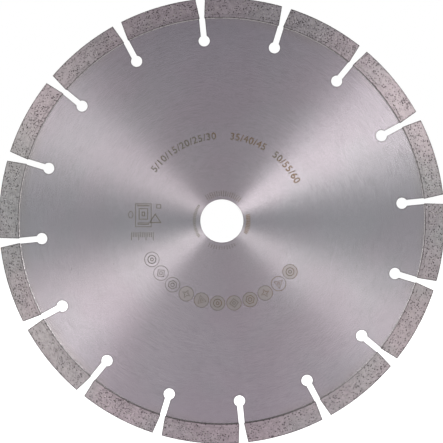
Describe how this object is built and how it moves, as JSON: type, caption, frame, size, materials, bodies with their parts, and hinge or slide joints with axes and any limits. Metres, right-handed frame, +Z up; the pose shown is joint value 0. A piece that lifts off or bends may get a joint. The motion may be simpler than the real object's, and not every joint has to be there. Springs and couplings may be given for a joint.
{
  "type": "diamond blade",
  "caption": "Segmented diamond blade: a slotted round steel core with a plain arbor bore and sintered diamond segments laser welded to its rim, for cutting concrete and masonry.",
  "frame": {"origin": "centre of the arbor bore, halfway through the steel core", "axes": "+Y along the blade's axis, from the front face to the back face; the front face looks towards -Y; +Z is up"},
  "size_m": [0.23, 0.0026, 0.23],
  "materials": {
    "ground_steel": "circular ground, satin",
    "sintered_segment": "sintered metal with diamond grit, matt and pitted",
    "sintered_foot": "sintered metal without diamond, fine and matt",
    "weld_metal": "fine rippled laser weld, satin"
  },
  "bodies": {
    "root": {"steel_core": "ground_steel", "segment_01": "sintered_segment", "segment_02": "sintered_segment", "segment_03": "sintered_segment", "segment_04": "sintered_segment", "segment_05": "sintered_segment", "segment_06": "sintered_segment", "segment_07": "sintered_segment", "segment_08": "sintered_segment", "segment_09": "sintered_segment", "segment_10": "sintered_segment", "segment_11": "sintered_segment", "segment_12": "sintered_segment", "segment_13": "sintered_segment", "segment_14": "sintered_segment", "segment_15": "sintered_segment", "segment_16": "sintered_segment", "segment_foot_01": "sintered_foot", "segment_foot_02": "sintered_foot", "segment_foot_03": "sintered_foot", "segment_foot_04": "sintered_foot", "segment_foot_05": "sintered_foot", "segment_foot_06": "sintered_foot", "segment_foot_07": "sintered_foot", "segment_foot_08": "sintered_foot", "segment_foot_09": "sintered_foot", "segment_foot_10": "sintered_foot", "segment_foot_11": "sintered_foot", "segment_foot_12": "sintered_foot", "segment_foot_13": "sintered_foot", "segment_foot_14": "sintered_foot", "segment_foot_15": "sintered_foot", "segment_foot_16": "sintered_foot", "weld_seam_01": "weld_metal", "weld_seam_02": "weld_metal", "weld_seam_03": "weld_metal", "weld_seam_04": "weld_metal", "weld_seam_05": "weld_metal", "weld_seam_06": "weld_metal", "weld_seam_07": "weld_metal", "weld_seam_08": "weld_metal", "weld_seam_09": "weld_metal", "weld_seam_10": "weld_metal", "weld_seam_11": "weld_metal", "weld_seam_12": "weld_metal", "weld_seam_13": "weld_metal", "weld_seam_14": "weld_metal", "weld_seam_15": "weld_metal", "weld_seam_16": "weld_metal"}
  },
  "joints": []
}
